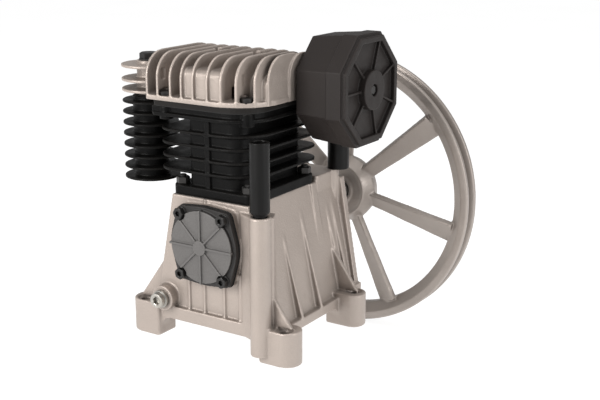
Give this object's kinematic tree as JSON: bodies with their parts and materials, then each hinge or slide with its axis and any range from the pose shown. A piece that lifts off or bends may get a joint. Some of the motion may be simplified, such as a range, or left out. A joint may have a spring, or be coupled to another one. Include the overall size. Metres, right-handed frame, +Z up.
{
  "type": "belt-driven twin-cylinder air compressor head",
  "caption": "Belt-driven twin-cylinder air compressor head: footed crankcase, black finned block, finned head with cooler column, octagonal air filter and fan flywheel.",
  "frame": {"origin": "midway between the four mounting holes, on the plane the feet stand on", "axes": "+Z up along the cylinders, +Y along the shaft from the front cover to the flywheel, +X to the air filter"},
  "size_m": [0.32, 0.3195, 0.3615],
  "materials": {
    "cast_aluminium": "fine sand-cast aluminium, warm silver paint, satin",
    "black_casting": "satin black paint on a sand casting",
    "wheel_casting": "warm grey paint on a cast-iron wheel, satin",
    "grey_cover": "grey die casting, satin",
    "black_fasteners": "black oxide steel",
    "bright_steel": "ground or rolled steel",
    "piston_alloy": "turned aluminium alloy",
    "seal_black": "black gasket paper and rubber",
    "filter_plastic": "moulded plastic, fine texture, warm dark grey",
    "filter_paper": "pleated filter paper",
    "black_tube": "smooth black rubber and plastic tube",
    "zinc": "bright zinc plated steel"
  },
  "bodies": {
    "housing": {"crankcase": "cast_aluminium", "front_cover": "grey_cover", "cover_gasket": "seal_black", "cover_bolts": "black_fasteners", "rear_carrier": "cast_aluminium", "carrier_gasket": "seal_black", "carrier_bolts": "black_fasteners", "front_bearing_outer": "bright_steel", "rear_bearing_outer": "bright_steel", "shaft_seal": "seal_black", "cylinder_block": "black_casting", "base_gasket": "seal_black", "base_nuts": "black_fasteners", "deck_gasket": "seal_black", "valve_plate": "black_casting", "head_gasket": "seal_black", "cylinder_head": "cast_aluminium", "head_bolts": "black_fasteners", "reed_stops": "bright_steel", "reed_screws": "bright_steel", "cooler_column": "black_casting", "cooler_gasket": "seal_black", "cooler_bolt": "black_fasteners", "filter_base": "filter_plastic", "filter_element": "filter_paper", "filter_cover": "filter_plastic", "filter_screw": "black_fasteners", "breather_tube": "black_tube", "filler_tube": "black_tube", "oil_plug": "zinc", "oil_plug_washer": "zinc"},
    "crank": {"crankshaft": "bright_steel", "front_bearing_inner": "bright_steel", "rear_bearing_inner": "bright_steel", "flywheel": "wheel_casting", "flywheel_key": "bright_steel", "flywheel_bolt": "black_fasteners", "flywheel_washer": "bright_steel"},
    "front_balls": {"front_ball_cage": "bright_steel"},
    "rear_balls": {"rear_ball_cage": "bright_steel"},
    "web_plug_1": {"web_plug_1": "bright_steel"},
    "piston_1": {"piston_1": "piston_alloy", "piston_rings_1": "bright_steel", "gudgeon_pin_1": "bright_steel", "circlips_1": "bright_steel"},
    "con_rod_1": {"con_rod_1": "cast_aluminium", "rod_cap_1": "cast_aluminium", "rod_bolts_1": "black_fasteners"},
    "web_plug_2": {"web_plug_2": "bright_steel"},
    "piston_2": {"piston_2": "piston_alloy", "piston_rings_2": "bright_steel", "gudgeon_pin_2": "bright_steel", "circlips_2": "bright_steel"},
    "con_rod_2": {"con_rod_2": "cast_aluminium", "rod_cap_2": "cast_aluminium", "rod_bolts_2": "black_fasteners"},
    "suction_reed_1": {"suction_reed_1": "bright_steel"},
    "suction_reed_2": {"suction_reed_2": "bright_steel"},
    "discharge_reed_1": {"discharge_reed_1": "bright_steel"},
    "discharge_reed_2": {"discharge_reed_2": "bright_steel"}
  },
  "joints": [
    {"name": "crank_spin", "type": "hinge", "parent": "housing", "child": "crank", "pos_m": [0, 0, 0.108], "axis": [0, 1, 0], "continuous": true, "deforming": ["con_rod_1", "con_rod_2"]},
    {"name": "front_balls_orbit", "type": "hinge", "parent": "housing", "child": "front_balls", "pos_m": [0, -0.063, 0.108], "axis": [0, 1, 0], "continuous": true},
    {"name": "rear_balls_orbit", "type": "hinge", "parent": "housing", "child": "rear_balls", "pos_m": [0, 0.092, 0.108], "axis": [0, 1, 0], "continuous": true},
    {"name": "web_plug_1_turn", "type": "hinge", "parent": "crank", "child": "web_plug_1", "pos_m": [0, -0.035, 0.1175], "axis": [0, 1, 0], "continuous": true},
    {"name": "piston_1_travel", "type": "hinge", "parent": "web_plug_1", "child": "piston_1", "pos_m": [0, -0.035, 0.127], "axis": [0, 1, 0], "continuous": true},
    {"name": "con_rod_1_big_end", "type": "hinge", "parent": "crank", "child": "con_rod_1", "pos_m": [0, -0.035, 0.127], "axis": [0, 1, 0], "continuous": true},
    {"name": "web_plug_2_turn", "type": "hinge", "parent": "crank", "child": "web_plug_2", "pos_m": [0, 0.019, 0.0985], "axis": [0, 1, 0], "continuous": true},
    {"name": "piston_2_travel", "type": "hinge", "parent": "web_plug_2", "child": "piston_2", "pos_m": [0, 0.019, 0.089], "axis": [0, 1, 0], "continuous": true},
    {"name": "con_rod_2_big_end", "type": "hinge", "parent": "crank", "child": "con_rod_2", "pos_m": [0, 0.019, 0.089], "axis": [0, 1, 0], "continuous": true},
    {"name": "suction_reed_1_lift", "type": "hinge", "parent": "housing", "child": "suction_reed_1", "pos_m": [0.03, -0.035, 0.23945], "axis": [0, -1, 0], "range_deg": [0, 2.2]},
    {"name": "suction_reed_2_lift", "type": "hinge", "parent": "housing", "child": "suction_reed_2", "pos_m": [0.03, 0.019, 0.23945], "axis": [0, -1, 0], "range_deg": [0, 2.2]},
    {"name": "discharge_reed_1_lift", "type": "hinge", "parent": "housing", "child": "discharge_reed_1", "pos_m": [-0.011, -0.01, 0.2445], "axis": [-1, 0, 0], "range_deg": [0, 3]},
    {"name": "discharge_reed_2_lift", "type": "hinge", "parent": "housing", "child": "discharge_reed_2", "pos_m": [-0.011, -0.006, 0.2445], "axis": [1, 0, 0], "range_deg": [0, 3]}
  ],
  "couplings": [
    {"joint": "front_balls_orbit", "follows": "crank_spin", "ratio": 0.3806},
    {"joint": "rear_balls_orbit", "follows": "crank_spin", "ratio": 0.39674},
    {"joint": "web_plug_1_turn", "follows": "crank_spin", "ratio": -2},
    {"joint": "piston_1_travel", "follows": "crank_spin", "ratio": 1},
    {"joint": "con_rod_1_big_end", "follows": "crank_spin", "ratio": -1},
    {"joint": "web_plug_2_turn", "follows": "crank_spin", "ratio": -2},
    {"joint": "piston_2_travel", "follows": "crank_spin", "ratio": 1},
    {"joint": "con_rod_2_big_end", "follows": "crank_spin", "ratio": -1}
  ]
}
